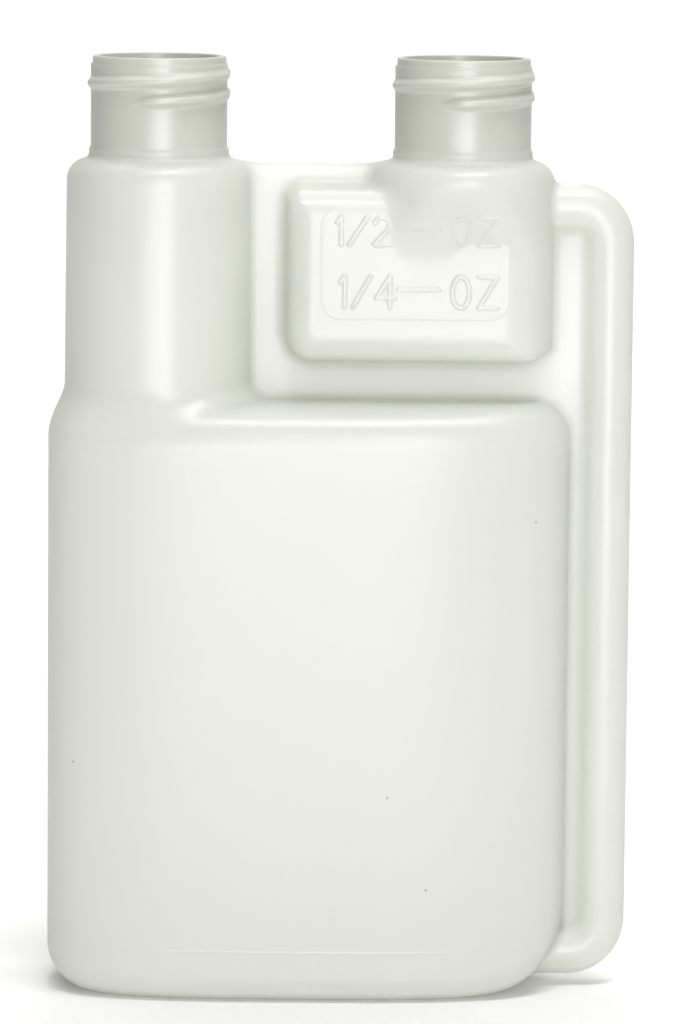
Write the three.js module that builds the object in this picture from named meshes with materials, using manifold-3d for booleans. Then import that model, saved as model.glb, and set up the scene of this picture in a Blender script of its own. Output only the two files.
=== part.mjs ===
// Twin-neck dosing bottle, blow-moulded in one piece from natural polyethylene.
// Squeezing the reservoir drives liquid up the side tube into the dosing chamber, where it is
// measured against the marks and poured from the right neck; the left neck is for filling.
// Millimetres, +Z up, the front at -Y. The two mould halves meet at Y = 0.
// The origin is under the middle of the whole outline, on the surface the bottle stands on.

import * as THREE from "three";
import { mergeVertices } from "three/addons/utils/BufferGeometryUtils.js";
import Module from "manifold-3d";

// Wall of the blown shell, and the web that the mould pinches flat between the hollow forms
const wall = 1.1;
const webThickness = 1.8;

// Reservoir: an oblong plan with bulged faces, squarer at its left end than at its right
const reservoirWidth = 83.2;
const reservoirDepth = 37;
const reservoirHeight = 94.9;
const leftSquareness = 3.4;
const rightSquareness = 2.9;
const shoulderRadius = 6;
const baseFaceRadius = 4;
const baseLeftRadius = 7;
const baseRightRadius = 13.5;
const standingBand = 3.5;
const pushUpHeight = 1;
const pushUpSlope = 2.4;

// Column that carries the filling neck
const columnRadius = 14.6;
const columnFlare = 0.3;
const columnInset = 2.75;
const columnHeight = 38;
const columnFootFillet = 3;
const columnCornerRadius = 3.3;

// Screw necks, both alike
const neckSpacing = 48.3;
const neckHeight = 16.3;
const neckRadius = 10.85;
const neckBore = 19;
const lipHeight = 1.3;
const lipStep = 0.3;
const lipRounding = 0.25;
const collarHeight = 1.8;
const collarStep = 0.25;
const collarFillet = 0.8;

// Thread ridge: a right-hand helix that nearly dies away where the mould halves meet
const threadPitch = 3.18;
const threadTurns = 1.5;
const threadHeight = 1.05;
const threadRootWidth = 2.4;
const threadCrestWidth = 0.9;
const threadBelowRim = 3.6;
const threadLeadIn = 22;
const threadRunOut = 28;
const threadSeamHeight = 0.25;
const threadSeamFade = 24;

// Dosing chamber under the pouring neck
const chamberReach = 28.5;
const chamberHalfDepth = 10.8;
const chamberGap = 5.7;
const chamberTopDrop = 3.5;
const chamberDraft = 1.5;
const chamberCrown = 2.6;
const chamberFootFillet = 0.8;
const chamberUpperCorner = 3;
const chamberLowerCorner = 5;
const facetFootDrop = 12.4;
const facetTopDrop = 4.3;

// Transfer tube from the foot of the reservoir to the top of the chamber
const tubeWidth = 7.6;
const tubeDepth = 7.8;
const tubeBend = 5.6;
const tubeTopDrop = 3.4;
const tubeBottomLift = 1.5;
const stripWidth = 2.3;
const webTopDrop = 0.4;

// How finely the curves are cut into facets
const planPoints = 52;
const roundPoints = 36;
const cornerSteps = 4;
const threadStep = 12;
const tubePoints = 16;

// Places that follow from the sizes
const totalWidth = reservoirWidth + stripWidth + tubeWidth;
const reservoirX = (reservoirWidth - totalWidth) / 2;
const leftNeckX = -totalWidth / 2 + columnInset + columnRadius;
const rightNeckX = leftNeckX + neckSpacing;
const shoulderZ = reservoirHeight + columnHeight;
const rimZ = shoulderZ + neckHeight;
const chamberBottomZ = reservoirHeight + chamberGap;
const chamberTopZ = shoulderZ - chamberTopDrop;
const tubeX = (totalWidth - tubeWidth) / 2;
const tubeTopZ = shoulderZ - tubeTopDrop - tubeWidth / 2;
const tubeBottomZ = tubeBottomLift + tubeWidth / 2;
const webTopZ = shoulderZ - webTopDrop;
const boreRadius = neckBore / 2;

const wasm = await Module();
wasm.setup();

// A closed triangle geometry as a solid that can be joined and cut
function solid(geometry) {
  geometry.deleteAttribute("normal");
  geometry.deleteAttribute("uv");
  const merged = mergeVertices(geometry, 1e-5);
  return new wasm.Manifold(
    new wasm.Mesh({
      numProp: 3,
      vertProperties: merged.attributes.position.array,
      triVerts: new Uint32Array(merged.index.array),
    }),
  );
}

function joined(solids) {
  return solids.reduce((whole, next) => whole.add(next));
}

// Skin through a row of rings with equal point counts, closed by a fan at each end.
// Seen from the last ring, each ring runs anticlockwise.
function loft(rings) {
  const count = rings[0].length;
  const points = rings.flat();
  const faces = [];
  for (let r = 0; r + 1 < rings.length; r += 1) {
    for (let i = 0; i < count; i += 1) {
      const a = r * count + i;
      const b = r * count + ((i + 1) % count);
      faces.push(a, b, b + count, a, b + count, a + count);
    }
  }
  const capCentre = (ring) =>
    ring.reduce((sum, p) => sum.add(p), new THREE.Vector3()).divideScalar(count);
  const first = points.push(capCentre(rings[0])) - 1;
  const last = points.push(capCentre(rings[rings.length - 1])) - 1;
  const top = (rings.length - 1) * count;
  for (let i = 0; i < count; i += 1) {
    const next = (i + 1) % count;
    faces.push(first, next, i, last, top + i, top + next);
  }
  const geometry = new THREE.BufferGeometry().setFromPoints(points);
  geometry.setIndex(faces);
  return solid(geometry);
}

// Solid of revolution about an upright axis at x, from a profile of [radius, z] that runs upwards
function turned(profile, x) {
  const points = profile.map(([radius, z]) => new THREE.Vector2(radius, z));
  const geometry = new THREE.LatheGeometry(points, roundPoints);
  geometry.rotateX(Math.PI / 2);
  geometry.translate(x, 0, 0);
  return solid(geometry);
}

// Points of an arc about [cx, cz], by angles in degrees
function arc(cx, cz, radius, from, to, steps = cornerSteps) {
  return Array.from({ length: steps + 1 }, (_, i) => {
    const angle = THREE.MathUtils.degToRad(from + ((to - from) * i) / steps);
    return [cx + radius * Math.cos(angle), cz + radius * Math.sin(angle)];
  });
}

// Plan of the reservoir. A rule gives how far each point is drawn in, and its height, from the
// way it faces: 0 on the faces, -1 at the left end and 1 at the right end.
function reservoirPlan(rule) {
  const a = reservoirWidth / 2;
  const b = reservoirDepth / 2;
  return Array.from({ length: planPoints }, (_, i) => {
    const angle = (2 * Math.PI * i) / planPoints;
    const c = Math.cos(angle);
    const s = Math.sin(angle);
    const squareness = c < 0 ? leftSquareness : rightSquareness;
    const u = Math.sign(c) * Math.abs(c) ** (2 / squareness);
    const v = Math.sign(s) * Math.abs(s) ** (2 / squareness);
    const across = (Math.sign(u) * Math.abs(u) ** (squareness - 1)) / a;
    const along = Math.abs(v) ** (squareness - 1) / b;
    const { inset, z } = rule(across / Math.hypot(across, along));
    return new THREE.Vector3(reservoirX + (a - inset) * u, (b - inset) * v, z);
  });
}

// Radius of the base's edge: tight along the faces and wide at the ends, most so at the right
function baseRadius(facing) {
  const end = facing < 0 ? baseLeftRadius : baseRightRadius;
  return baseFaceRadius + (end - baseFaceRadius) * facing ** 2;
}

// The reservoir as it is outside, or the space in it when a wall is taken off
function reservoir(skin) {
  const shoulder = shoulderRadius - skin;
  const baseRings = arc(1, 1, 1, 270, 180).map(([inward, up]) =>
    reservoirPlan((facing) => {
      const radius = baseRadius(facing) - skin;
      return { inset: skin + radius * inward, z: skin + radius * up };
    }),
  );
  const shoulderRings = arc(
    skin + shoulder,
    reservoirHeight - skin - shoulder,
    shoulder,
    180,
    90,
  ).map(([inset, z]) => reservoirPlan(() => ({ inset, z })));
  return loft([...baseRings, ...shoulderRings]);
}

// The hollow pressed up in the middle of the base, which leaves a flat standing band round it
function pushUp(skin) {
  const ring = (slope, z) =>
    reservoirPlan((facing) => ({ inset: baseRadius(facing) + standingBand - skin + slope, z }));
  return loft([ring(-pushUpSlope, -pushUpHeight), ring(pushUpSlope, pushUpHeight + skin)]);
}

// Height of the reservoir's top at a point of its plan, or nothing where the point is outside it
function reservoirTopAt(x, y) {
  const power = x < reservoirX ? leftSquareness : rightSquareness;
  const isInside = (inset) =>
    (Math.abs(x - reservoirX) / (reservoirWidth / 2 - inset)) ** power +
      (Math.abs(y) / (reservoirDepth / 2 - inset)) ** power <=
    1;
  if (!isInside(0)) return -Infinity;
  let inset = 0;
  for (let step = shoulderRadius / 2; step > 1e-4; step /= 2) {
    if (isInside(inset + step)) inset += step;
  }
  return reservoirHeight - shoulderRadius + Math.sqrt(shoulderRadius ** 2 - (shoulderRadius - inset) ** 2);
}

// Round column with a soft upper corner, from inside the reservoir up to the neck
function column(skin) {
  const radius = columnRadius - skin;
  const corner = columnCornerRadius - skin;
  const top = shoulderZ - skin;
  const foot = reservoirHeight - shoulderRadius - skin;
  return turned(
    [[0, foot], [radius + columnFlare, foot], ...arc(radius - corner, top - corner, corner, 0, 90), [0, top]],
    leftNeckX,
  );
}

// Fillet round the column's foot, as a ball of the fillet's radius leaves it when it rolls
// round the column and stays on the reservoir's shoulder
function columnFoot() {
  const radius = columnRadius + columnFlare;
  const ball = columnFootFillet;
  const inner = radius - wall;
  const rings = Array.from({ length: roundPoints }, (_, i) => {
    const angle = (2 * Math.PI * i) / roundPoints;
    const at = (r, z) =>
      new THREE.Vector3(leftNeckX + r * Math.cos(angle), r * Math.sin(angle), z);
    let ballZ = -Infinity;
    let touch = 0;
    for (let swing = 0; swing <= 90; swing += 1) {
      const reach = ball * Math.cos(THREE.MathUtils.degToRad(swing));
      const p = at(radius + ball - reach, 0);
      const z = reservoirTopAt(p.x, p.y) + Math.sqrt(ball ** 2 - reach ** 2);
      if (z > ballZ) {
        ballZ = z;
        touch = swing;
      }
    }
    const curve = arc(radius + ball, ballZ, ball, 180, 180 + touch).map(([r, z]) => at(r, z));
    const tip = curve[curve.length - 1];
    return [at(inner, ballZ), ...curve, at(inner, tip.z - wall / 2)];
  });
  return loftRound(rings);
}

// Skin through rings that close on themselves, as a ring of sections round an axis
function loftRound(rings) {
  const count = rings[0].length;
  const faces = [];
  for (let r = 0; r < rings.length; r += 1) {
    const here = r * count;
    const there = ((r + 1) % rings.length) * count;
    for (let i = 0; i < count; i += 1) {
      const next = (i + 1) % count;
      faces.push(here + i, here + next, there + next, here + i, there + next, there + i);
    }
  }
  const geometry = new THREE.BufferGeometry().setFromPoints(rings.flat());
  geometry.setIndex(faces);
  return solid(geometry);
}

// One screw neck with its lip at the rim and its collar on the shoulder
function neck(x) {
  const lip = neckRadius - lipStep;
  const collar = neckRadius + collarStep;
  const profile = [
    [0, shoulderZ - wall],
    [collar + collarFillet, shoulderZ - wall],
    ...arc(collar + collarFillet, shoulderZ + collarFillet, collarFillet, 270, 180, 3),
    [collar, shoulderZ + collarHeight - collarStep],
    [neckRadius, shoulderZ + collarHeight],
    [neckRadius, rimZ - lipHeight],
    [lip, rimZ - lipHeight + lipStep],
    [lip, rimZ - lipRounding],
    [lip - lipRounding, rimZ],
    [0, rimZ],
  ];
  return turned(profile, x).add(thread(x));
}

// How high the thread ridge stands at an angle of its run, in degrees from the front
function threadRise(along, azimuth) {
  const end = 360 * threadTurns;
  const ends = Math.min(along / threadLeadIn, (end - along) / threadRunOut, 1);
  const fromSeam = THREE.MathUtils.radToDeg(Math.asin(Math.abs(Math.cos(azimuth))));
  const fade = THREE.MathUtils.smoothstep(fromSeam, 0, threadSeamFade);
  return ends * (threadSeamHeight + (threadHeight - threadSeamHeight) * fade);
}

function thread(x) {
  const end = 360 * threadTurns;
  const steps = Math.round(end / threadStep);
  const root = neckRadius - 0.3;
  const rings = [];
  for (let i = 0; i <= steps; i += 1) {
    const along = (end * i) / steps;
    const azimuth = THREE.MathUtils.degToRad(along - threadLeadIn);
    const z = rimZ - threadBelowRim + (threadPitch * (along - threadLeadIn - 360)) / 360;
    const rise = threadRise(along, azimuth);
    const size = 0.3 + (0.7 * rise) / threadHeight;
    const at = (radius, up) =>
      new THREE.Vector3(x + radius * Math.sin(azimuth), -radius * Math.cos(azimuth), z + up);
    rings.push([
      at(root, (-threadRootWidth / 2) * size),
      at(root, (threadRootWidth / 2) * size),
      at(neckRadius + 0.8 * rise, (threadCrestWidth / 2 + 0.2) * size),
      at(neckRadius + rise, 0.25 * threadCrestWidth * size),
      at(neckRadius + rise, -0.25 * threadCrestWidth * size),
      at(neckRadius + 0.8 * rise, -(threadCrestWidth / 2 + 0.2) * size),
    ]);
  }
  return loft(rings);
}

// The bore of a neck, opened a little at its foot into the space below
function bore(x) {
  return turned(
    [
      [0, shoulderZ - 3 * wall],
      [boreRadius + 1.5 * wall, shoulderZ - 3 * wall],
      [boreRadius + 1.5 * wall, shoulderZ - wall],
      [boreRadius, shoulderZ + wall],
      [boreRadius, rimZ - lipRounding],
      [boreRadius + 2 * lipRounding, rimZ + lipRounding],
      [0, rimZ + lipRounding],
    ],
    x,
  );
}

// Front outline of the chamber, with round corners, drawn in by an inset, at a depth y
function chamberOutline(inset, y) {
  const left = rightNeckX - chamberReach + inset;
  const right = rightNeckX + columnRadius - inset;
  const bottom = chamberBottomZ + inset;
  const top = chamberTopZ - inset;
  const upper = Math.max(chamberUpperCorner - inset, 0.4);
  const lower = Math.max(chamberLowerCorner - inset, 0.4);
  return [
    ...arc(right - lower, bottom + lower, lower, 0, -90),
    ...arc(left + lower, bottom + lower, lower, -90, -180),
    ...arc(left + upper, top - upper, upper, 180, 90),
    ...arc(right - upper, top - upper, upper, 90, 0),
  ].map(([x, z]) => new THREE.Vector3(x, y, z));
}

// Box as a solid, from its lowest to its highest corner
function block(x0, y0, z0, x1, y1, z1) {
  const geometry = new THREE.BoxGeometry(x1 - x0, y1 - y0, z1 - z0);
  geometry.translate((x0 + x1) / 2, (y0 + y1) / 2, (z0 + z1) / 2);
  return solid(geometry);
}

// Flat outline in the XZ plane, made solid between two depths
function plate(outline, y0, y1) {
  const geometry = new THREE.ExtrudeGeometry(new THREE.Shape(outline), {
    depth: y1 - y0,
    bevelEnabled: false,
  });
  geometry.rotateX(Math.PI / 2);
  geometry.translate(0, y1, 0);
  return solid(geometry);
}

// Outline across the depth, made solid along X between two places
function bar(outline, x0, x1) {
  const geometry = new THREE.ExtrudeGeometry(new THREE.Shape(outline), {
    depth: x1 - x0,
    bevelEnabled: false,
  });
  geometry.rotateX(Math.PI / 2);
  geometry.rotateZ(Math.PI / 2);
  geometry.translate(x0, 0, 0);
  return solid(geometry);
}

// Dosing chamber: flat drafted faces with a round crown, and a right flank that is the round
// base of the pouring neck carried down to the chamber's floor
function chamber(skin) {
  const crown = Math.max(chamberCrown - skin, 0.4);
  const face = chamberHalfDepth - skin;
  const draft = chamberDraft / chamberHalfDepth;
  const foot = skin === 0 ? chamberFootFillet : 0;
  const steps = arc(0, 0, crown, 0, 90, 3).map(([out, up]) => ({
    depth: face - crown + up,
    inset: skin + draft * (face - crown) + crown - out,
  }));
  if (foot > 0) {
    const start = webThickness / 2;
    steps.unshift(
      { depth: start, inset: draft * start - foot },
      { depth: start + 0.3 * foot, inset: draft * start - 0.3 * foot },
      { depth: start + foot, inset: draft * (start + foot) },
    );
  }
  const back = steps.map(({ depth, inset }) => chamberOutline(inset, depth));
  const front = steps.map(({ depth, inset }) => chamberOutline(inset, -depth)).reverse();
  const flank = turned(
    [
      [0, chamberBottomZ - 2 * foot - 1],
      [columnRadius - skin, chamberBottomZ - 2 * foot - 1],
      [columnRadius - skin, shoulderZ],
      [0, shoulderZ],
    ],
    rightNeckX,
  );
  const leftSide = block(
    rightNeckX - 2 * chamberReach,
    -reservoirDepth,
    chamberBottomZ - 2 * foot - 1,
    rightNeckX,
    reservoirDepth,
    shoulderZ,
  );
  return loft([...front, ...back]).intersect(leftSide.add(flank));
}

// Round base of the pouring neck, cut back by a sloping facet to the chamber's faces
function pouringBase(skin) {
  const radius = columnRadius - skin;
  const corner = columnCornerRadius - skin;
  const top = shoulderZ - skin;
  const footZ = (chamberBottomZ + chamberTopZ) / 2;
  const round = turned(
    [[0, footZ], [radius, footZ], ...arc(radius - corner, top - corner, corner, 0, 90), [0, top]],
    rightNeckX,
  );
  const face = chamberHalfDepth - skin;
  const facetFootZ = shoulderZ - facetFootDrop;
  const facetTopZ = shoulderZ - facetTopDrop;
  const halfDepths = [
    [face, footZ - 1],
    [face, facetFootZ],
    [columnRadius - skin, facetTopZ],
    [columnRadius + 1, facetTopZ + 1],
    [columnRadius + 1, shoulderZ + 1],
  ];
  const outline = [
    ...halfDepths.map(([y, z]) => new THREE.Vector2(y, z)),
    ...halfDepths.map(([y, z]) => new THREE.Vector2(-y, z)).reverse(),
  ];
  return round.intersect(bar(outline, rightNeckX - 2 * columnRadius, rightNeckX + 2 * columnRadius));
}

// Transfer tube along its bent path: out of the chamber's top, down, and into the reservoir's foot
function tube(skin) {
  const out = rightNeckX + columnRadius / 2;
  const home = reservoirX + reservoirWidth / 2 - baseRightRadius;
  const path = [
    [out, tubeTopZ],
    ...arc(tubeX - tubeBend, tubeTopZ - tubeBend, tubeBend, 90, 0, 6),
    ...arc(tubeX - tubeBend, tubeBottomZ + tubeBend, tubeBend, 0, -90, 6),
    [home, tubeBottomZ],
  ];
  const halfWidth = tubeWidth / 2 - skin;
  const halfDepth = tubeDepth / 2 - skin;
  const rings = path.map(([x, z], i) => {
    const [fromX, fromZ] = path[Math.max(i - 1, 0)];
    const [toX, toZ] = path[Math.min(i + 1, path.length - 1)];
    const across = new THREE.Vector3(fromZ - toZ, 0, toX - fromX).normalize();
    return Array.from({ length: tubePoints }, (_, j) => {
      const angle = (2 * Math.PI * j) / tubePoints;
      return new THREE.Vector3(x, halfDepth * Math.cos(angle), z).addScaledVector(
        across,
        halfWidth * Math.sin(angle),
      );
    });
  });
  return loft(rings);
}

// Web at the parting plane, which ties the column, chamber, tube and reservoir together
function web() {
  const insideZ = reservoirHeight / 2;
  const strip = reservoirX + reservoirWidth / 2 - shoulderRadius;
  const outline = [
    [leftNeckX, insideZ],
    [strip, insideZ],
    [strip, tubeBottomZ],
    [tubeX, tubeBottomZ],
    [tubeX, tubeTopZ],
    [rightNeckX, tubeTopZ],
    [rightNeckX, webTopZ],
    [leftNeckX, webTopZ],
  ].map(([x, z]) => new THREE.Vector2(x, z));
  return plate(outline, -webThickness / 2, webThickness / 2);
}

const outside = joined([
  reservoir(0).subtract(pushUp(0)),
  column(0),
  columnFoot(),
  chamber(0),
  pouringBase(0),
  tube(0),
  web(),
  neck(leftNeckX),
  neck(rightNeckX),
]);

const inside = joined([
  reservoir(wall).subtract(pushUp(wall)),
  column(wall),
  chamber(wall),
  pouringBase(wall),
  tube(wall),
  bore(leftNeckX),
  bore(rightNeckX),
]);

// A solid's triangles as a geometry with flat-shaded faces
function geometryOf(piece) {
  const mesh = piece.getMesh();
  const geometry = new THREE.BufferGeometry();
  geometry.setAttribute("position", new THREE.BufferAttribute(mesh.vertProperties, 3));
  geometry.setIndex(new THREE.BufferAttribute(mesh.triVerts, 1));
  geometry.computeVertexNormals();
  return geometry;
}

const naturalPolyethylene = new THREE.MeshStandardMaterial({
  color: 0xe6e9df,
  roughness: 0.38,
  metalness: 0,
});

const bottle = new THREE.Mesh(geometryOf(outside.subtract(inside)), naturalPolyethylene);
bottle.name = "bottle";

const part = new THREE.Group();
part.add(bottle);

export default part;
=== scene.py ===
import math

import bpy
import numpy as np
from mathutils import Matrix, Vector


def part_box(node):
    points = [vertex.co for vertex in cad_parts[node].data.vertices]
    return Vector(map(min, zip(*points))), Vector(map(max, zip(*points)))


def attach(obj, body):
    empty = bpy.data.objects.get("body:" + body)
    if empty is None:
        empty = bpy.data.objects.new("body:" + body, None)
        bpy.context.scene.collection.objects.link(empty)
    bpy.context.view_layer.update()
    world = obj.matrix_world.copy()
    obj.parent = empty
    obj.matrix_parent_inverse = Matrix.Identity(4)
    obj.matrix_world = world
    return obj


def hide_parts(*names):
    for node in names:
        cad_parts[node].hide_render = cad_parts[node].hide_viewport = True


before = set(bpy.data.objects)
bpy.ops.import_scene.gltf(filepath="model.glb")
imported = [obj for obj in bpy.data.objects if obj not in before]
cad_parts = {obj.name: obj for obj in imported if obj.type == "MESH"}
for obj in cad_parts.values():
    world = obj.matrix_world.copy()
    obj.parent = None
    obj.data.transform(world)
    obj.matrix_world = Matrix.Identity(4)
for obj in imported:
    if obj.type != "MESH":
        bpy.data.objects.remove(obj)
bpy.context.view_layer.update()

# Blown skin of the bottle, all one piece: reservoir, column, dosing chamber, transfer tube and
# the thin web between them. Natural high-density polyethylene, blown as one parison in a mould
# of two halves that meet at Y = 0, so every inner corner is a soft fillet. Sizes in millimetres.
MM = 0.001
low_corner, high_corner = (np.array(corner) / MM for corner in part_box("bottle"))

WALL = 1.1
WEB = 1.8
WEB_EDGE = 0.5

HALF_DEPTH = high_corner[1]
RESERVOIR_WIDTH = 83.2
RESERVOIR_HEIGHT = 94.9
RESERVOIR_X = low_corner[0] + RESERVOIR_WIDTH / 2
LEFT_SQUARENESS = 3.4
RIGHT_SQUARENESS = 2.9
SHOULDER_RADIUS = 6.0
BASE_FACE_RADIUS = 4.0
BASE_LEFT_RADIUS = 7.0
BASE_RIGHT_RADIUS = 13.5
STANDING_BAND = 3.5
PUSH_UP = 1.0
PUSH_UP_SLOPE = 2.4

COLUMN_RADIUS = 14.6
COLUMN_FLARE = 0.3
COLUMN_INSET = 2.75
COLUMN_CORNER = 3.3
COLUMN_FOOT_FILLET = 3.0
NECK_HEIGHT = 16.3
NECK_SPACING = 48.3
RIM_Z = high_corner[2]
SHOULDER_Z = RIM_Z - NECK_HEIGHT
LEFT_NECK_X = low_corner[0] + COLUMN_INSET + COLUMN_RADIUS
RIGHT_NECK_X = LEFT_NECK_X + NECK_SPACING

CHAMBER_REACH = 28.5
CHAMBER_HALF_DEPTH = 10.8
CHAMBER_BOTTOM = RESERVOIR_HEIGHT + 5.7
CHAMBER_TOP = SHOULDER_Z - 3.5
CHAMBER_DRAFT = 0.139
CHAMBER_CROWN = 3.4
CHAMBER_UPPER_CORNER = 3.0
CHAMBER_LOWER_CORNER = 5.0
FLANK_EDGE = 2.4
FLANK_CLEARANCE = 1.2
FACET_FOOT = SHOULDER_Z - 12.4
FACET_TOP = SHOULDER_Z - 4.3
FACET_EDGE = 1.2
NECK_BASE_FILLET = 1.6
FLUSH_FILLET = 0.05

TUBE_WIDTH = 7.6
TUBE_DEPTH = 7.8
TUBE_BEND = 5.6
TUBE_X = high_corner[0] - TUBE_WIDTH / 2
TUBE_TOP = SHOULDER_Z - 3.4 - TUBE_WIDTH / 2
TUBE_BOTTOM = 1.5 + TUBE_WIDTH / 2
TUBE_UPPER_START = RIGHT_NECK_X + 5
TUBE_LOWER_START = RESERVOIR_X + 28
WEB_TOP = SHOULDER_Z - 0.4
WEB_FILLET = 1.0
WEB_OVERLAP = 1.0

COLLAR_RADIUS = 11.1
COLLAR_FILLET = 0.8
BORE_RADIUS = 9.5
INSERT_JOINT_Z = 8.2


def rounded_corner(a, b, radius):
    """Inside both forms, with their outer edge rounded to a radius."""
    edge = np.hypot(np.maximum(a + radius, 0), np.maximum(b + radius, 0))
    return np.minimum(np.maximum(a, b), -radius) + edge


def filleted(a, b, radius):
    """Inside either form, with the inner corner between them filled to a radius."""
    corner = np.hypot(np.maximum(radius - a, 0), np.maximum(radius - b, 0))
    return np.maximum(np.minimum(a, b), radius) - corner


def ramp(value, start, end):
    t = np.clip((value - start) / (end - start), 0, 1)
    return t * t * (3 - 2 * t)


def box_distance(x, z, x0, x1, z0, z1, radius):
    """Distance to a round-cornered rectangle in the parting plane."""
    dx = np.maximum(x0 - x, x - x1) + radius
    dz = np.maximum(z0 - z, z - z1) + radius
    return np.hypot(np.maximum(dx, 0), np.maximum(dz, 0)) + np.minimum(np.maximum(dx, dz), 0) - radius


def oblong_plan(x, y):
    """Distance to the reservoir's plan, an oblong with bulged sides, and how far it faces the
    ends: 0 on the faces, -1 at the left end and 1 at the right end."""
    power = np.where(x < RESERVOIR_X, LEFT_SQUARENESS, RIGHT_SQUARENESS)
    u = np.abs(x - RESERVOIR_X) / (RESERVOIR_WIDTH / 2)
    v = np.abs(y) / HALF_DEPTH
    q = np.maximum(u**power + v**power, 1e-9) ** (1 / power)
    slope_x = (u / q) ** (power - 1) / (RESERVOIR_WIDTH / 2)
    slope_y = (v / q) ** (power - 1) / HALF_DEPTH
    size = np.hypot(slope_x, slope_y)
    return (q - 1) / size, np.sign(x - RESERVOIR_X) * slope_x / size


def reservoir_form(x, y, z):
    plan, facing = oblong_plan(x, y)
    end = np.where(facing < 0, BASE_LEFT_RADIUS, BASE_RIGHT_RADIUS)
    edge = BASE_FACE_RADIUS + (end - BASE_FACE_RADIUS) * facing**2
    floor = PUSH_UP * ramp(-plan - edge, STANDING_BAND, STANDING_BAND + PUSH_UP_SLOPE)
    topped = rounded_corner(plan, z - RESERVOIR_HEIGHT, SHOULDER_RADIUS)
    return rounded_corner(topped, floor - z, edge)


def column_form(x, y, z):
    spread = COLUMN_FLARE * np.clip((SHOULDER_Z - z) / (SHOULDER_Z - RESERVOIR_HEIGHT), 0, 1)
    side = np.hypot(x - LEFT_NECK_X, y) - COLUMN_RADIUS - spread
    topped = rounded_corner(side, z - SHOULDER_Z, COLUMN_CORNER)
    return np.maximum(topped, RESERVOIR_HEIGHT / 2 - z)


def chamber_form(x, y, z):
    left = RIGHT_NECK_X - CHAMBER_REACH
    right = RIGHT_NECK_X + COLUMN_RADIUS + FLANK_CLEARANCE
    middle = (CHAMBER_BOTTOM + CHAMBER_TOP) / 2
    radius = np.where(z < middle, CHAMBER_LOWER_CORNER, CHAMBER_UPPER_CORNER)
    radius = radius + np.where(x > RIGHT_NECK_X, FLANK_CLEARANCE, 0)
    outline = box_distance(x, z, left, right, CHAMBER_BOTTOM, CHAMBER_TOP, radius)
    drafted = (outline + CHAMBER_DRAFT * np.abs(y)) / math.hypot(1, CHAMBER_DRAFT)
    crowned = rounded_corner(drafted, np.abs(y) - CHAMBER_HALF_DEPTH, CHAMBER_CROWN)
    flank = np.hypot(np.maximum(x - RIGHT_NECK_X, 0), y) - COLUMN_RADIUS
    round_side = rounded_corner(flank, np.abs(y) - CHAMBER_HALF_DEPTH, FLANK_EDGE)
    return np.maximum(crowned, round_side)


def neck_base_form(x, y, z):
    side = np.hypot(x - RIGHT_NECK_X, y) - COLUMN_RADIUS
    slope = (COLUMN_RADIUS - CHAMBER_HALF_DEPTH) / (FACET_TOP - FACET_FOOT)
    facet = (np.abs(y) - CHAMBER_HALF_DEPTH - slope * (z - FACET_FOOT)) / math.hypot(1, slope)
    faceted = rounded_corner(side, facet, FACET_EDGE)
    topped = rounded_corner(faceted, z - SHOULDER_Z, COLUMN_CORNER)
    return np.maximum(topped, CHAMBER_BOTTOM + CHAMBER_LOWER_CORNER - z)


def tube_form(x, y, z):
    """Distance to the tube, whose middle line is a round-cornered bracket open to the left."""
    out = np.maximum(np.abs(z - (TUBE_TOP + TUBE_BOTTOM) / 2) - (TUBE_TOP - TUBE_BOTTOM) / 2 + TUBE_BEND, 0)
    across = x - TUBE_X + TUBE_BEND
    ring = np.hypot(np.maximum(across, 0), out) - TUBE_BEND
    middle = np.where(across > 0, ring, out - TUBE_BEND)
    middle = np.where(out <= 0, x - TUBE_X, middle)
    side = np.hypot(middle, y * TUBE_WIDTH / TUBE_DEPTH) - TUBE_WIDTH / 2
    start = np.where(z > RESERVOIR_HEIGHT, TUBE_UPPER_START, TUBE_LOWER_START)
    return np.maximum(side, start - x)


def web_form(x, y, z):
    middle = RESERVOIR_HEIGHT / 2
    upper = box_distance(x, z, LEFT_NECK_X, RIGHT_NECK_X, middle, WEB_TOP, WEB_EDGE)
    lower = box_distance(x, z, RIGHT_NECK_X - WEB_OVERLAP, TUBE_X, middle, TUBE_TOP, WEB_EDGE)
    strip = box_distance(x, z, RIGHT_NECK_X, TUBE_X, TUBE_BOTTOM, middle + WEB_OVERLAP, WEB_EDGE)
    outline = np.minimum(np.minimum(upper, lower), strip)
    return rounded_corner(outline, np.abs(y) - WEB / 2, WEB_EDGE)


def hollow_forms(x, y, z):
    """Everything that the parison blows up, without the web."""
    body = filleted(reservoir_form(x, y, z), column_form(x, y, z), COLUMN_FOOT_FILLET)
    fillet = FLUSH_FILLET + (NECK_BASE_FILLET - FLUSH_FILLET) * ramp(RIGHT_NECK_X - x, -2, 4)
    head = filleted(chamber_form(x, y, z), neck_base_form(x, y, z), fillet)
    piped = filleted(head, tube_form(x, y, z), WEB_FILLET)
    return filleted(body, piped, WEB_FILLET)


def outer_skin(x, y, z):
    skin = filleted(hollow_forms(x, y, z), web_form(x, y, z), WEB_FILLET)
    for neck_x in (LEFT_NECK_X, RIGHT_NECK_X):
        stub = np.maximum(np.hypot(x - neck_x, y) - COLLAR_RADIUS, SHOULDER_Z - 2 * WALL - z)
        skin = filleted(skin, stub, COLLAR_FILLET)
    return skin - dose_relief(x, y, z)


def inner_skin(x, y, z):
    space = hollow_forms(x, y, z) + WALL
    for neck_x in (LEFT_NECK_X, RIGHT_NECK_X):
        bore = np.maximum(np.hypot(x - neck_x, y) - BORE_RADIUS, SHOULDER_Z - 3 * WALL - z)
        space = filleted(space, bore, COLLAR_FILLET)
    return space


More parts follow.
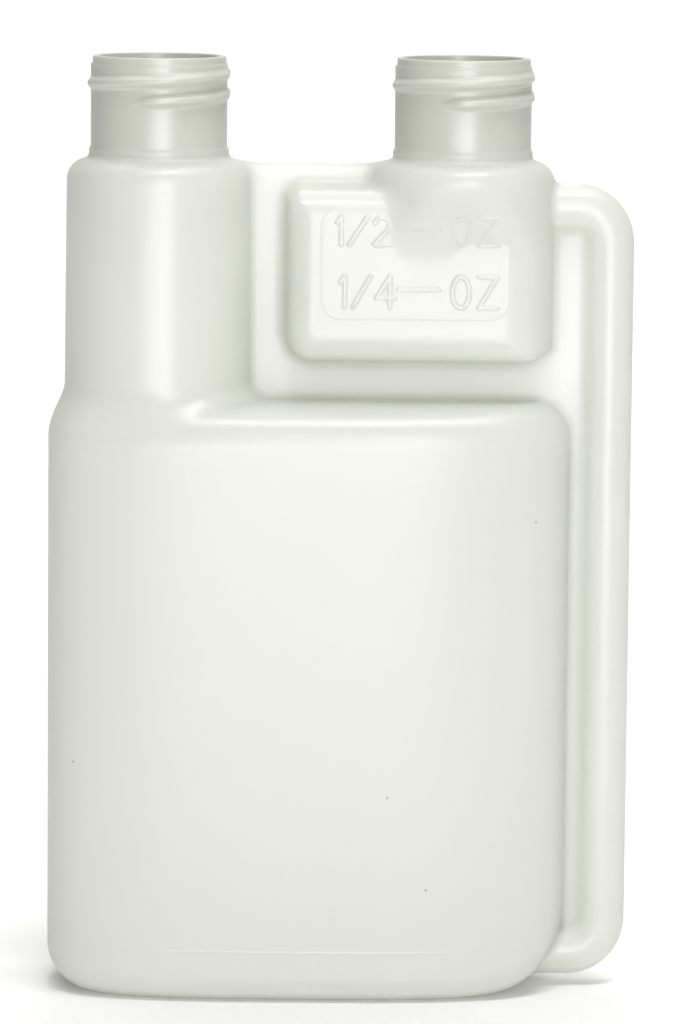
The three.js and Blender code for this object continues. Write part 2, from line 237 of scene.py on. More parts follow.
# The raised dose marks are part of the same skin, cut into the front mould half: a numeral, a
# dash and the letters of the unit on each of two lines, inside the faint outline of the insert
# that carries them. Each stroke is a low round-topped ridge.
STROKE_HALF_WIDTH = 0.36
STROKE_HEIGHT = 0.2
STROKE_EDGE = 0.2
UPPER_LINE = (120.3, 124.6)
LOWER_LINE = (110.4, 115.3)
INSERT_X = (-3.0, 26.3)
INSERT_Z = (108.6, 126.0)
INSERT_CORNER = 3.0
INSERT_RIDGE = 0.05
INSERT_RIDGE_HALF_WIDTH = 0.35


def glyph_strokes(glyph):
    """Strokes of one glyph in a square of side 1, as open lines of points."""
    turn = [math.radians(a) for a in range(0, 361, 20)]
    bowl = [(0.5 + 0.42 * math.cos(a), 0.5 + 0.5 * math.sin(a)) for a in turn]
    crook = [(0.5 + 0.4 * math.cos(a), 0.7 + 0.3 * math.sin(a)) for a in turn[8::-1]]
    return {
        "1": [[(0.25, 0.8), (0.55, 1.0), (0.55, 0.0)]],
        "2": [crook + [(0.9, 0.62), (0.1, 0.0), (0.95, 0.0)]],
        "4": [[(0.75, 0.0), (0.75, 1.0), (0.05, 0.3), (1.0, 0.3)]],
        "/": [[(0.0, 0.0), (1.0, 1.0)]],
        "O": [bowl],
        "Z": [[(0.05, 1.0), (0.95, 1.0), (0.05, 0.0), (0.95, 0.0)]],
        "-": [[(0.0, 0.5), (1.0, 0.5)]],
    }[glyph]


def mark_layout():
    """Each glyph with its place: left, bottom, width and height on the chamber's front."""
    layout = []
    for (bottom, top), numeral, shift in ((UPPER_LINE, "2", -0.4), (LOWER_LINE, "4", 0.2)):
        tall = top - bottom
        layout += [
            ("1", -0.9 + shift, bottom, 2.2, tall),
            ("/", 1.6 + shift, bottom, 2.8, tall),
            (numeral, 5.2 + shift, bottom, 3.0, tall),
            ("-", 9.0, bottom + 0.08 * tall, 6.3, tall),
            ("O", 17.2, bottom, 3.2, tall),
            ("Z", 21.5, bottom, 3.2, tall),
        ]
    return layout


def stroke_distance(x, z):
    nearest = np.full(x.shape, 1e3)
    for glyph, left, bottom, width, height in mark_layout():
        for line in glyph_strokes(glyph):
            points = [(left + width * u, bottom + height * v) for u, v in line]
            for (x0, z0), (x1, z1) in zip(points, points[1:]):
                run = (x1 - x0, z1 - z0)
                along = ((x - x0) * run[0] + (z - z0) * run[1]) / (run[0] ** 2 + run[1] ** 2)
                along = np.clip(along, 0, 1)
                gap = np.hypot(x - x0 - along * run[0], z - z0 - along * run[1])
                nearest = np.minimum(nearest, gap)
    return nearest


def dose_relief(x, y, z):
    """How far the marks stand out of the chamber's front face."""
    relief = np.zeros(x.shape)
    near = (y < -CHAMBER_HALF_DEPTH / 2) & (x > INSERT_X[0] - 2) & (x < INSERT_X[1] + 2)
    near &= (z > INSERT_Z[0] - 2) & (z < INSERT_Z[1] + 2)
    if not near.any():
        return relief
    px, pz = x[near], z[near]
    stroke = stroke_distance(px, pz)
    foot, top = -STROKE_HALF_WIDTH - STROKE_EDGE / 2, -STROKE_HALF_WIDTH + STROKE_EDGE
    ridge = STROKE_HEIGHT * ramp(-stroke, foot, top)
    edge = np.abs(box_distance(px, pz, *INSERT_X, *INSERT_Z, INSERT_CORNER))
    relief[near] = ridge + INSERT_RIDGE * ramp(-edge, -INSERT_RIDGE_HALF_WIDTH, 0.0)
    return relief


# The skins are drawn over a grid of cells, fine where the form turns and long where it runs
# straight, and each point is then moved onto the true surface.
def steps(*stretches):
    """Grid lines through stretches of (start, end, step)."""
    lines = []
    for start, end, step in stretches:
        count = max(round((end - start) / step), 1)
        lines.append(np.linspace(start, end, count, endpoint=False))
    lines.append([stretches[-1][1]])
    return np.concatenate(lines)


def skin_mesh(form, xs, ys, zs):
    """Points and four-sided faces of the surface where a form is zero, faces outward."""
    grid = np.meshgrid(xs, ys, zs, indexing="ij")
    value = form(*grid)
    inside = value < 0
    shape = tuple(n - 1 for n in value.shape)
    total = np.zeros((*shape, 3))
    count = np.zeros(shape)
    crossings = []
    for axis in range(3):
        first = [slice(None)] * 3
        second = [slice(None)] * 3
        first[axis] = slice(0, -1)
        second[axis] = slice(1, None)
        first, second = tuple(first), tuple(second)
        crossed = inside[first] != inside[second]
        at = np.argwhere(crossed)
        v0 = value[first][crossed]
        v1 = value[second][crossed]
        share = v0 / (v0 - v1)
        point = np.stack([g[first][crossed] for g in grid], 1)
        point[:, axis] += share * (grid[axis][second][crossed] - grid[axis][first][crossed])
        crossings.append((axis, at, inside[first][crossed]))
        others = [a for a in range(3) if a != axis]
        for back_a in (0, 1):
            for back_b in (0, 1):
                cell = at.copy()
                cell[:, others[0]] -= back_a
                cell[:, others[1]] -= back_b
                fits = ((cell >= 0) & (cell < shape)).all(1)
                index = tuple(cell[fits].T)
                np.add.at(total, index, point[fits])
                np.add.at(count, index, 1)
    used = count > 0
    number = np.full(shape, -1)
    number[used] = np.arange(used.sum())
    points = total[used] / count[used][:, None]
    faces = []
    for axis, at, leaves in crossings:
        a, b = (axis + 1) % 3, (axis + 2) % 3
        around = []
        for back_a, back_b in ((1, 1), (0, 1), (0, 0), (1, 0)):
            cell = at.copy()
            cell[:, a] -= back_a
            cell[:, b] -= back_b
            around.append(cell)
        fits = np.all([((c >= 0) & (c < shape)).all(1) for c in around], axis=0)
        quad = np.stack([number[tuple(c[fits].T)] for c in around], 1)
        quad = np.where(leaves[fits][:, None], quad, quad[:, ::-1])
        faces.append(quad)
    return points, np.concatenate(faces)


def slope_of(form, points):
    reach = 0.02
    x, y, z = points.T
    return np.stack(
        [
            (form(x + reach, y, z) - form(x - reach, y, z)) / (2 * reach),
            (form(x, y + reach, z) - form(x, y - reach, z)) / (2 * reach),
            (form(x, y, z + reach) - form(x, y, z - reach)) / (2 * reach),
        ],
        1,
    )


def settle(form, points, rounds=5):
    """Moves points onto the surface of a form."""
    for _ in range(rounds):
        slope = slope_of(form, points)
        size = np.maximum((slope**2).sum(1), 0.05)
        push = form(*points.T) / size
        points = points - np.clip(push, -0.5, 0.5)[:, None] * slope
    return points


def split_faces(points, faces, chosen, cuts):
    """Cuts the chosen four-sided faces into cuts x cuts, and gives their neighbours the same
    points on shared edges, so that the skin stays closed."""
    points = list(map(tuple, points))
    edge_points = {}

    def along(i, j):
        key = (min(i, j), max(i, j))
        if key not in edge_points:
            p, q = np.array(points[key[0]]), np.array(points[key[1]])
            row = []
            for n in range(1, cuts):
                points.append(tuple(p + (q - p) * n / cuts))
                row.append(len(points) - 1)
            edge_points[key] = row
        row = edge_points[key]
        return row if i < j else row[::-1]

    polygons = []
    for face in faces[chosen]:
        a, b, c, d = (int(i) for i in face)
        rows = [[a, *along(a, b), b]]
        left, right = along(a, d), along(b, c)
        for n in range(1, cuts):
            start, end = np.array(points[left[n - 1]]), np.array(points[right[n - 1]])
            row = [left[n - 1]]
            for m in range(1, cuts):
                points.append(tuple(start + (end - start) * m / cuts))
                row.append(len(points) - 1)
            rows.append([*row, right[n - 1]])
        rows.append([d, *along(d, c), c])
        for lower, upper in zip(rows, rows[1:]):
            for m in range(cuts):
                polygons.append((lower[m], lower[m + 1], upper[m + 1], upper[m]))
    for face in faces[~chosen]:
        ring = []
        for i, j in zip(face, np.roll(face, -1)):
            key = (min(i, j), max(i, j))
            extra = edge_points.get(key, [])
            ring += [int(i), *(extra if i < j else extra[::-1])]
        polygons.append(tuple(ring))
    return np.array(points), polygons


def open_rings(polygons):
    """Rings of points round the holes of an open skin, each in the order of its faces."""
    edges = {(p[i], p[(i + 1) % len(p)]) for p in polygons for i in range(len(p))}
    following = {b: a for a, b in edges if (b, a) not in edges}
    rings = []
    while following:
        start = next(iter(following))
        ring = [start]
        while (step := following.pop(ring[-1])) != start:
            ring.append(step)
        rings.append(ring)
    return rings


OUTER_CELL = 0.87
OUTER_CELL_HEIGHT = 0.75
OUTER_LONG_CELL = 3.6
OUTER_STRAIGHT = (8.3, 85.4)
OUTER_MARGIN = 1.1
WEB_LINES = (-0.4, 0.4)
INNER_CELL = 1.35
INNER_CELL_DEPTH = 1.36
INNER_CELL_HEIGHT = 1.2
INNER_LONG_CELL = 4.2
INNER_STRAIGHT = (9.0, 85.0)
SPLIT_MIDDLE = (11.6, 117.3)
SPLIT_REACH = (16.2, 10.0)

to_back = steps((1.25, 19.8, OUTER_CELL))
outer_points, outer_faces = skin_mesh(
    outer_skin,
    steps((low_corner[0] - OUTER_MARGIN, high_corner[0] + OUTER_MARGIN, OUTER_CELL)),
    np.concatenate([-to_back[::-1], WEB_LINES, to_back]),
    steps(
        (-0.9, OUTER_STRAIGHT[0], OUTER_CELL_HEIGHT),
        (*OUTER_STRAIGHT, OUTER_LONG_CELL),
        (OUTER_STRAIGHT[1], SHOULDER_Z + 1.9, OUTER_CELL_HEIGHT),
    ),
)
outer_points = settle(outer_skin, outer_points, 3)
middles = outer_points[outer_faces].mean(1)
on_insert = middles[:, 1] < -CHAMBER_HALF_DEPTH * 0.8
for axis, centre, reach in zip((0, 2), SPLIT_MIDDLE, SPLIT_REACH):
    on_insert &= np.abs(middles[:, axis] - centre) < reach
outer_points, outer_faces = split_faces(outer_points, outer_faces, on_insert, 4)
outer_points = settle(outer_skin, outer_points)

inner_points, inner_faces = skin_mesh(
    inner_skin,
    steps((low_corner[0], high_corner[0], INNER_CELL)),
    steps((-18.4, 18.4, INNER_CELL_DEPTH)),
    steps(
        (0.2, INNER_STRAIGHT[0], INNER_CELL_HEIGHT),
        (*INNER_STRAIGHT, INNER_LONG_CELL),
        (INNER_STRAIGHT[1], SHOULDER_Z + 0.6, INNER_CELL_HEIGHT),
    ),
)
inner_points = settle(inner_skin, inner_points)
inner_faces = [tuple(int(i) for i in face[::-1]) for face in inner_faces]

# Screw necks, part of the same skin: a lip at the rim, a collar on the shoulder and one and a
# half turns of right-hand thread, a ridge that nearly dies away at the parting plane because
# the mould halves part there. The bore is smooth, as the blow pin leaves it.
NECK_RADIUS = 10.85
LIP_HEIGHT = 1.3
LIP_STEP = 0.3
LIP_ROUNDING = 0.25
COLLAR_TOP = SHOULDER_Z + 1.8
THREAD_PITCH = 3.18
THREAD_TURNS = 1.5
THREAD_HEIGHT = 1.05
THREAD_HALF_WIDTH = 1.2
THREAD_BELOW_RIM = 3.6
THREAD_LEAD_IN = 22.0
THREAD_RUN_OUT = 28.0
THREAD_SEAM_HEIGHT = 0.25
THREAD_SEAM_FADE = 24.0
NECK_POINTS = 132
COLLAR_ROW = 0.25
THREAD_ROW = 0.22
OUTER_JOIN_GAP = 0.3
INNER_JOIN_GAP = 0.6


def thread_ridge(azimuth, z):
    """How far the thread stands out at an azimuth, in degrees round from the front, and height."""
    ridge = np.zeros(azimuth.shape)
    end = 360 * THREAD_TURNS
    seam = np.abs(azimuth % 180 - 90)
    fade = ramp(seam, 0, THREAD_SEAM_FADE)
    tall = THREAD_SEAM_HEIGHT + (THREAD_HEIGHT - THREAD_SEAM_HEIGHT) * fade
    for turn in range(3):
        along = azimuth + THREAD_LEAD_IN + 360 * turn
        along = np.where(azimuth > 360 - THREAD_LEAD_IN, along - 360, along)
        middle = RIM_Z - THREAD_BELOW_RIM + THREAD_PITCH * (along - THREAD_LEAD_IN - 360) / 360
        ends = ramp(along, 0, THREAD_LEAD_IN) * ramp(end - along, 0, THREAD_RUN_OUT)
        half = THREAD_HALF_WIDTH * (0.35 + 0.65 * ends)
        across = np.clip(np.abs(z - middle) / half, 0, 1)
        bell = ramp(1 - across, 0, 0.85)
        inside = (along > 0) & (along < end)
        ridge = np.maximum(ridge, np.where(inside, tall * ends * bell, 0))
    return ridge


def neck_profile(start_z, end_z):
    """Radius and height from the collar's foot, over the rim and down the bore."""
    lip = NECK_RADIUS - LIP_STEP
    outside = [(COLLAR_RADIUS, z) for z in np.arange(start_z, COLLAR_TOP - 0.3, COLLAR_ROW)]
    outside += [(COLLAR_RADIUS, COLLAR_TOP - 0.25), (NECK_RADIUS + 0.08, COLLAR_TOP - 0.02)]
    lip_z = RIM_Z - LIP_HEIGHT
    outside += [(NECK_RADIUS, z) for z in np.arange(COLLAR_TOP + 0.2, lip_z - 0.05, THREAD_ROW)]
    outside += [(NECK_RADIUS, lip_z - 0.04), (lip + 0.05, lip_z + 0.14)]
    outside += [(lip, lip_z + 0.3), (lip, RIM_Z - 0.6), (lip, RIM_Z - LIP_ROUNDING)]
    for angle in (25, 50, 75):
        a = math.radians(angle)
        out = lip - LIP_ROUNDING * (1 - math.cos(a))
        outside.append((out, RIM_Z - LIP_ROUNDING * (1 - math.sin(a))))
    middle = [(r, RIM_Z) for r in np.linspace(lip - LIP_ROUNDING, BORE_RADIUS + LIP_ROUNDING, 4)]
    for angle in (75, 50, 25):
        a = math.radians(angle)
        out = BORE_RADIUS + LIP_ROUNDING * (1 - math.cos(a))
        middle.append((out, RIM_Z - LIP_ROUNDING * (1 - math.sin(a))))
    inside = [(BORE_RADIUS, z) for z in np.linspace(RIM_Z - LIP_ROUNDING, end_z, 12)]
    return outside + middle + inside


def neck_skin(neck_x, start_z, end_z):
    profile = np.array(neck_profile(start_z, end_z))
    azimuth = np.arange(NECK_POINTS) * 360 / NECK_POINTS
    angle, row = np.meshgrid(azimuth, np.arange(len(profile)), indexing="ij")
    radius, z = profile[row, 0], profile[row, 1]
    outward = radius > NECK_RADIUS - 0.01
    radius = radius + np.where(outward, thread_ridge(angle, z), 0)
    turn = np.radians(angle)
    points = np.stack([neck_x + radius * np.sin(turn), -radius * np.cos(turn), z], 2)
    rows = len(profile)
    faces = []
    for i in range(NECK_POINTS):
        j = (i + 1) % NECK_POINTS
        for k in range(rows - 1):
            faces.append((i * rows + k, j * rows + k, j * rows + k + 1, i * rows + k + 1))
    return points.reshape(-1, 3), faces, rows


def azimuths(points, ring, neck_x):
    return np.degrees(np.arctan2(points[ring, 0] - neck_x, -points[ring, 1])) % 360


def joined_rings(points, lower, upper, neck_x):
    """Triangles between two rings about a neck's axis, whatever their counts."""
    order = []
    for ring in (lower, upper):
        at = azimuths(points, ring, neck_x)
        rank = np.argsort(at)
        order.append((np.array(ring)[rank], at[rank]))
    (low, low_at), (high, high_at) = order
    triangles = []
    i = j = 0
    while i < len(low) or j < len(high):
        next_low = low_at[i + 1] if i + 1 < len(low) else 360 + low_at[0]
        next_high = high_at[j + 1] if j + 1 < len(high) else 360 + high_at[0]
        a, b = int(low[i % len(low)]), int(high[j % len(high)])
        if j >= len(high) or (i < len(low) and next_low <= next_high):
            triangles.append((a, int(low[(i + 1) % len(low)]), b))
            i += 1
        else:
            triangles.append((a, int(high[(j + 1) % len(high)]), b))
            j += 1
    return triangles


points = [outer_points, inner_points]
polygons = [*outer_faces, *(tuple(i + len(outer_points) for i in face) for face in inner_faces)]
skin_count = len(outer_points) + len(inner_points)
point_count = skin_count
all_points = np.concatenate(points)
rings = open_rings(polygons)
for neck_x in (LEFT_NECK_X, RIGHT_NECK_X):
    close = [r for r in rings if abs(all_points[r, 0].mean() - neck_x) < NECK_RADIUS / 2]
    lower = next(r for r in close if r[0] < len(outer_points))
    upper = next(r for r in close if r[0] >= len(outer_points))
    start_z = all_points[lower, 2].mean() + OUTER_JOIN_GAP
    end_z = all_points[upper, 2].mean() + INNER_JOIN_GAP
    neck_points, neck_faces, rows = neck_skin(neck_x, start_z, end_z)
    polygons += [tuple(i + point_count for i in face) for face in neck_faces]
    points.append(neck_points)
    all_points = np.concatenate(points)
    first = [point_count + i * rows for i in range(NECK_POINTS)]
    last = [point_count + i * rows + rows - 1 for i in range(NECK_POINTS)]
    polygons += joined_rings(all_points, lower, first, neck_x)
    polygons += joined_rings(all_points, last, upper, neck_x)
    point_count += len(neck_points)

mesh = bpy.data.meshes.new("bottle_skin")
mesh.from_pydata((all_points * MM).tolist(), [], polygons)
mesh.validate()
mesh.shade_smooth()
mesh.update()
normals = np.empty(len(mesh.vertices) * 3)
mesh.vertices.foreach_get("normal", normals)
normals = normals.reshape(-1, 3)
outer_slope = slope_of(outer_skin, outer_points)
inner_slope = slope_of(inner_skin, inner_points)
analytic = np.concatenate([outer_slope, -inner_slope])
length = np.linalg.norm(analytic, axis=1)
sure = length > 0.3
normals[:skin_count][sure] = analytic[sure] / length[sure][:, None]
mesh.normals_split_custom_set_from_vertices(normals.tolist())
# How dense the plastic looks: 0 in the web, 0.5 in the blown wall and 1 in the screw necks.
# Partly the plastic's real thickness, partly painted light: the web is painted lighter for backlight
# shining through it and against the shade under the chamber, the necks darker for the shade in their
# hollows
density_and_painted_light = np.full(len(all_points), 0.5)
density_and_painted_light[: len(outer_points)] -= 0.5 * ramp(hollow_forms(*outer_points.T), 0.0, 0.8)
density_and_painted_light += 0.5 * ramp(all_points[:, 2], SHOULDER_Z - 0.3, SHOULDER_Z + 1.5)
mesh.attributes.new("density_and_painted_light", "FLOAT", "POINT").data.foreach_set("value", np.clip(density_and_painted_light, 0, 1))
bottle = bpy.data.objects.new("bottle_skin", mesh)
bpy.context.collection.objects.link(bottle)


# Natural high-density polyethylene, unpigmented: milky white with a faint green-grey cast,
# translucent enough that light wanders through the wall, with the soft gloss of a blown skin.
def linear(hex_colour):
    """An sRGB hex colour as linear red, green, blue and full alpha."""
    channels = [int(hex_colour[i : i + 2], 16) / 255 for i in (1, 3, 5)]
    return (*(c / 12.92 if c <= 0.04045 else ((c + 0.055) / 1.055) ** 2.4 for c in channels), 1.0)


def add_node(tree, kind, links=None, **settings):
    """One node, with its settings by attribute name and its inputs linked by name."""
    node = tree.nodes.new(kind)
    for name, value in settings.items():
        setattr(node, name, value)
    for name, value in (links or {}).items():
        if isinstance(value, bpy.types.NodeSocket):
            tree.links.new(value, node.inputs[name])
        else:
            node.inputs[name].default_value = value
    return node


def natural_polyethylene():
    material = bpy.data.materials.new("natural_polyethylene")
    material.use_nodes = True
    tree = material.node_tree
    tree.nodes.clear()
    place = add_node(tree, "ShaderNodeTexCoord").outputs["Object"]

    # Colour: near white in the web, more olive in the dense necks, with slow clouds over all. The web's
    # white and the necks' olive are partly the plastic's thickness and partly painted light: painted light
    # for backlight through the web and against the shade under the chamber, painted shade in the hollow
    # necks
    density_and_painted_light = add_node(tree, "ShaderNodeAttribute", attribute_name="density_and_painted_light").outputs["Fac"]
    density_and_painted_light_ramp = add_node(tree, "ShaderNodeValToRGB", {"Fac": density_and_painted_light})
    ramp_ends = density_and_painted_light_ramp.color_ramp.elements
    ramp_ends[0].color = linear("#FBFBFA")
    ramp_ends[1].color = linear("#D6D7CE")
    ramp_ends.new(0.5).color = linear("#F3F4F0")
    cloud = add_node(tree, "ShaderNodeTexNoise", {"Vector": place, "Scale": 45.0, "Detail": 3.0})
    shade = add_node(
        tree, "ShaderNodeMapRange", {"Value": cloud.outputs["Fac"], "To Min": 0.0, "To Max": 0.22}
    )
    tint = add_node(
        tree, "ShaderNodeMix", {"Factor": shade.outputs["Result"]}, data_type="RGBA"
    )
    tree.links.new(density_and_painted_light_ramp.outputs["Color"], tint.inputs["A"])
    tint.inputs["B"].default_value = linear("#E9E9E3")

    # Dust: specks up to half a millimetre across, in about one 8 mm cell in four
    cell = add_node(tree, "ShaderNodeTexVoronoi", {"Vector": place, "Scale": 1 / (8 * MM)})
    pick = add_node(tree, "ShaderNodeSeparateColor", {"Color": cell.outputs["Color"]})
    few = add_node(tree, "ShaderNodeMath", operation="GREATER_THAN")
    tree.links.new(pick.outputs["Red"], few.inputs[0])
    few.inputs[1].default_value = 0.72
    dot = add_node(
        tree,
        "ShaderNodeMapRange",
        {
            "Value": cell.outputs["Distance"],
            "From Min": 0.014,
            "From Max": 0.03,
            "To Min": 0.6,
            "To Max": 0.0,
        },
    )
    speck = add_node(tree, "ShaderNodeMath", operation="MULTIPLY")
    tree.links.new(few.outputs["Value"], speck.inputs[0])
    tree.links.new(dot.outputs["Result"], speck.inputs[1])
    dusty = add_node(tree, "ShaderNodeMix", {"Factor": speck.outputs["Value"]}, data_type="RGBA")
    tree.links.new(tint.outputs["Result"], dusty.inputs["A"])
    dusty.inputs["B"].default_value = linear("#6E6A58")

    # Relief: the fine orange-peel of a blasted mould, and hairlines where its base insert
    # ends and where its halves part
    grain = add_node(
        tree, "ShaderNodeTexNoise", {"Vector": place, "Scale": 1 / (1.1 * MM), "Detail": 2.0}
    )
    axes = add_node(tree, "ShaderNodeSeparateXYZ", {"Vector": place})

    def hairline(along, place_of_line, half_width, height):
        """A fine raised line where a coordinate has one value."""
        apart = add_node(tree, "ShaderNodeMath", operation="SUBTRACT")
        tree.links.new(along, apart.inputs[0])
        apart.inputs[1].default_value = place_of_line * MM
        reach = add_node(tree, "ShaderNodeMath", operation="ABSOLUTE")
        tree.links.new(apart.outputs["Value"], reach.inputs[0])
        return add_node(
            tree,
            "ShaderNodeMapRange",
            {
                "Value": reach.outputs["Value"],
                "From Max": half_width * MM,
                "To Min": height,
                "To Max": 0.0,
            },
            interpolation_type="SMOOTHSTEP",
        ).outputs["Result"]

    def added(first, second):
        total = add_node(tree, "ShaderNodeMath", operation="ADD")
        tree.links.new(first, total.inputs[0])
        tree.links.new(second, total.inputs[1])
        return total.outputs["Value"]

    joint = hairline(axes.outputs["Z"], INSERT_JOINT_Z, 0.28, 1.6)
    parting = hairline(axes.outputs["Y"], 0.0, 0.22, 1.8)
    relief = added(added(grain.outputs["Fac"], joint), parting)
    bump = add_node(
        tree, "ShaderNodeBump", {"Height": relief, "Strength": 0.35, "Distance": 0.06 * MM}
    )
    skin = add_node(
        tree,
        "ShaderNodeBsdfPrincipled",
        {
            "Base Color": dusty.outputs["Result"],
            "Roughness": 0.3,
            "IOR": 1.53,
            "Specular IOR Level": 0.9,
            "Normal": bump.outputs["Normal"],
        },
    )
    glow = add_node(tree, "ShaderNodeBsdfTranslucent", {"Color": dusty.outputs["Result"]})
    passed = add_node(
        tree, "ShaderNodeMapRange", {"Value": density_and_painted_light, "To Min": 0.8, "To Max": 0.34}
    )
    milky = add_node(tree, "ShaderNodeMixShader", {"Fac": passed.outputs["Result"]})
    tree.links.new(skin.outputs["BSDF"], milky.inputs[1])
    tree.links.new(glow.outputs["BSDF"], milky.inputs[2])
    add_node(tree, "ShaderNodeOutputMaterial", {"Surface": milky.outputs["Shader"]})
    return material


plastic = natural_polyethylene()
mesh.materials.append(plastic)
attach(bottle, "root")
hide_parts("bottle")

# Trim flash: where the blown waste was cut from the rims, a few thin ragged chips of the same
# plastic stay on the right corner of each, on the parting plane.
FLASH_FALL = 2.1
FLASH_CHIPS = 9
FLASH_CHIP = 0.22
FLASH_SMALLEST = (0.35, 0.4, 0.5)
FLASH_LARGEST = (1.3, 1.0, 1.4)


def ragged_trim():
    """Geometry nodes: chips of uneven size down a short line that starts at each point."""
    tree = bpy.data.node_groups.new("ragged_trim", "GeometryNodeTree")
    sockets = (
        ("Places", "INPUT", "NodeSocketGeometry"),
        ("Fall", "INPUT", "NodeSocketFloat"),
        ("Chips", "INPUT", "NodeSocketInt"),
        ("Chip Radius", "INPUT", "NodeSocketFloat"),
        ("Seed", "INPUT", "NodeSocketInt"),
        ("Plastic", "INPUT", "NodeSocketMaterial"),
        ("Flash", "OUTPUT", "NodeSocketGeometry"),
    )
    for name, way, kind in sockets:
        tree.interface.new_socket(name=name, in_out=way, socket_type=kind)
    given = add_node(tree, "NodeGroupInput").outputs
    down = add_node(tree, "ShaderNodeMath", operation="MULTIPLY")
    tree.links.new(given["Fall"], down.inputs[0])
    down.inputs[1].default_value = -1.0
    end = add_node(tree, "ShaderNodeCombineXYZ", {"Z": down.outputs["Value"]})
    line = add_node(tree, "GeometryNodeCurvePrimitiveLine", {"End": end.outputs["Vector"]})
    row = add_node(
        tree, "GeometryNodeCurveToPoints", {"Curve": line.outputs["Curve"], "Count": given["Chips"]}
    )
    chip = add_node(tree, "GeometryNodeMeshIcoSphere", {"Radius": given["Chip Radius"], "Subdivisions": 2})
    uneven = add_node(tree, "FunctionNodeRandomValue", data_type="FLOAT_VECTOR")
    uneven.inputs[0].default_value = FLASH_SMALLEST
    uneven.inputs[1].default_value = FLASH_LARGEST
    tree.links.new(given["Seed"], uneven.inputs["Seed"])
    ragged = add_node(
        tree,
        "GeometryNodeInstanceOnPoints",
        {"Points": row.outputs["Points"], "Instance": chip.outputs["Mesh"], "Scale": uneven.outputs[0]},
    )
    placed = add_node(
        tree,
        "GeometryNodeInstanceOnPoints",
        {"Points": given["Places"], "Instance": ragged.outputs["Instances"]},
    )
    whole = add_node(
        tree, "GeometryNodeRealizeInstances", {"Geometry": placed.outputs["Instances"]}
    )
    dressed = add_node(
        tree,
        "GeometryNodeSetMaterial",
        {"Geometry": whole.outputs["Geometry"], "Material": given["Plastic"]},
    )
    result = add_node(tree, "NodeGroupOutput")
    tree.links.new(dressed.outputs["Geometry"], result.inputs["Flash"])
    return tree


trim_tree = ragged_trim()
for side, neck_x, seed in (("filling", LEFT_NECK_X, 4), ("pouring", RIGHT_NECK_X, 9)):
    start = bpy.data.meshes.new(f"{side}_rim_flash")
    start.from_pydata([((neck_x + NECK_RADIUS - LIP_STEP) * MM, 0, (RIM_Z - 0.3) * MM)], [], [])
    flash = bpy.data.objects.new(f"{side}_rim_flash", start)
    bpy.context.collection.objects.link(flash)
    trim = flash.modifiers.new("ragged_trim", "NODES")
    trim.node_group = trim_tree
    values = {
        "Fall": FLASH_FALL * MM,
        "Chips": FLASH_CHIPS,
        "Chip Radius": FLASH_CHIP * MM,
        "Seed": seed,
        "Plastic": plastic,
    }
    for socket in trim_tree.interface.items_tree:
        if socket.name in values:
            trim[socket.identifier] = values[socket.name]
    graph = bpy.context.evaluated_depsgraph_get()
    chips = bpy.data.meshes.new_from_object(flash.evaluated_get(graph))
    flash.modifiers.clear()
    flash.data = chips
    chips.shade_smooth()
    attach(flash, "root")

# Studio: a plain pale floor and backdrop in one sweep, and soft lights, all in metres and watts.
# Not part of the object.
FLOOR_SIZE = 4.0
BACKDROP_Y = 1.2
BACKDROP_RISE = 0.5


def sweep():
    """Floor that curves up into a backdrop behind the bottle."""
    bend_y = BACKDROP_Y - BACKDROP_RISE
    section = [(-FLOOR_SIZE, 0.0), (bend_y, 0.0)]
    for angle in range(10, 91, 10):
        a = math.radians(angle)
        section.append((bend_y + BACKDROP_RISE * math.sin(a), BACKDROP_RISE * (1 - math.cos(a))))
    section.append((BACKDROP_Y, FLOOR_SIZE))
    points = [(x, y, z) for y, z in section for x in (-FLOOR_SIZE, FLOOR_SIZE)]
    faces = [(2 * i, 2 * i + 1, 2 * i + 3, 2 * i + 2) for i in range(len(section) - 1)]
    floor_mesh = bpy.data.meshes.new("floor")
    floor_mesh.from_pydata(points, [], faces)
    floor_mesh.shade_smooth()
    floor = bpy.data.objects.new("floor", floor_mesh)
    bpy.context.collection.objects.link(floor)
    material = bpy.data.materials.new("pale_paper")
    material.use_nodes = True
    paper = material.node_tree.nodes["Principled BSDF"]
    paper.inputs["Base Color"].default_value = linear("#F7F7F6")
    paper.inputs["Roughness"].default_value = 0.9
    floor_mesh.materials.append(material)


sweep()


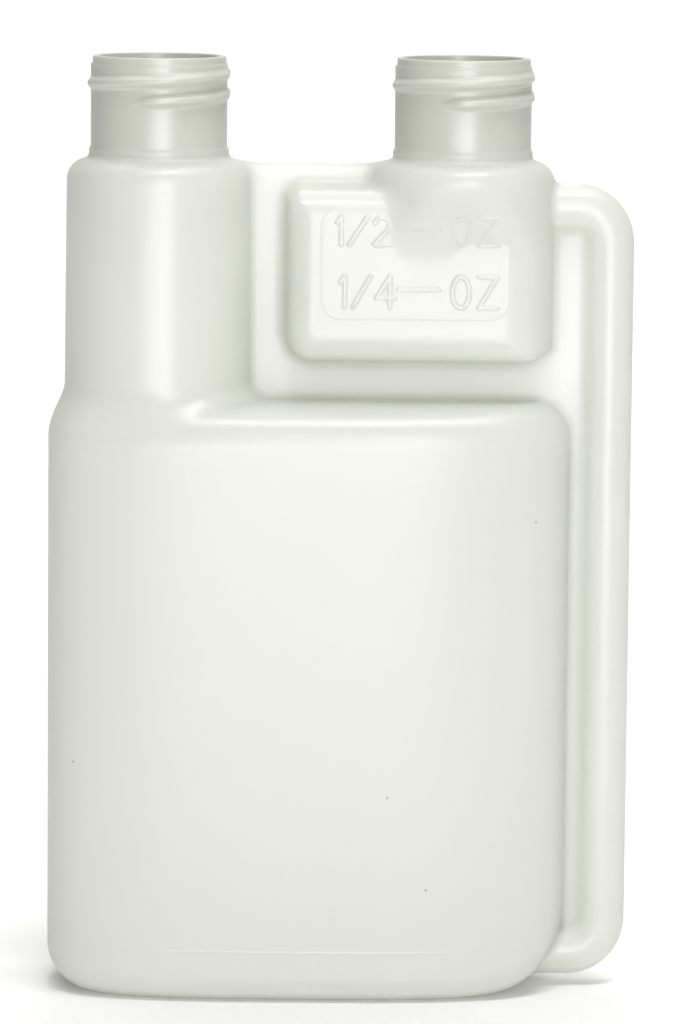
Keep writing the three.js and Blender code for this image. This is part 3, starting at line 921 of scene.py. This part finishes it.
def area_light(name, place, aim, size, power):
    light = bpy.data.lights.new(name, "AREA")
    light.shape = "RECTANGLE"
    light.size, light.size_y = size
    light.energy = power
    lamp = bpy.data.objects.new(name, light)
    lamp.location = place
    lamp.rotation_euler = (Vector(aim) - Vector(place)).to_track_quat("-Z", "Y").to_euler()
    bpy.context.collection.objects.link(lamp)


CENTRE = (0.0, 0.0, 0.075)
area_light("top_softbox", (0.12, -0.25, 0.95), CENTRE, (0.6, 0.26), 5.0)
area_light("front_softbox", (0.2, -1.3, 0.45), CENTRE, (0.5, 0.8), 7.9)
area_light("low_fill", (0.0, -0.7, 0.04), (0.0, 0.0, 0.03), (0.4, 0.08), 1.1)
area_light("back_softbox", (0.0, 0.7, 0.75), CENTRE, (0.2, 0.5), 1.4)
area_light("backdrop_light", (0.0, 0.35, 1.3), (0.0, 1.2, 0.2), (1.6, 0.5), 12.0)

bpy.context.scene.view_settings.view_transform = "Standard"
world = bpy.data.worlds.new("studio_air")
bpy.context.scene.world = world
world.use_nodes = True
world.node_tree.nodes["Background"].inputs["Color"].default_value = linear("#FFFFFF")
world.node_tree.nodes["Background"].inputs["Strength"].default_value = 0.09

# Camera at the photograph's angle: square to the front, a little higher than the rims
IMAGE_WIDTH, IMAGE_HEIGHT = 674, 1024
PIXELS_PER_MM = 6.24
CAMERA_DISTANCE = 0.9
CAMERA_PITCH = 7.5
CAMERA_ROLL = 0.5
AIM = (-0.0004, 0.0, 0.0764)

camera_data = bpy.data.cameras.new("camera")
camera_data.sensor_fit = "VERTICAL"
camera_data.sensor_height = 36.0
camera_data.sensor_width = 36.0
camera_data.lens = PIXELS_PER_MM * CAMERA_DISTANCE / MM / IMAGE_HEIGHT * camera_data.sensor_height
camera = bpy.data.objects.new("camera", camera_data)
pitch = math.radians(CAMERA_PITCH)
camera.location = Vector(AIM) + CAMERA_DISTANCE * Vector((0, -math.cos(pitch), math.sin(pitch)))
camera.rotation_euler = (math.radians(90) - pitch, 0, 0)
camera.rotation_euler.rotate_axis("Z", math.radians(CAMERA_ROLL))
bpy.context.collection.objects.link(camera)
bpy.context.scene.camera = camera
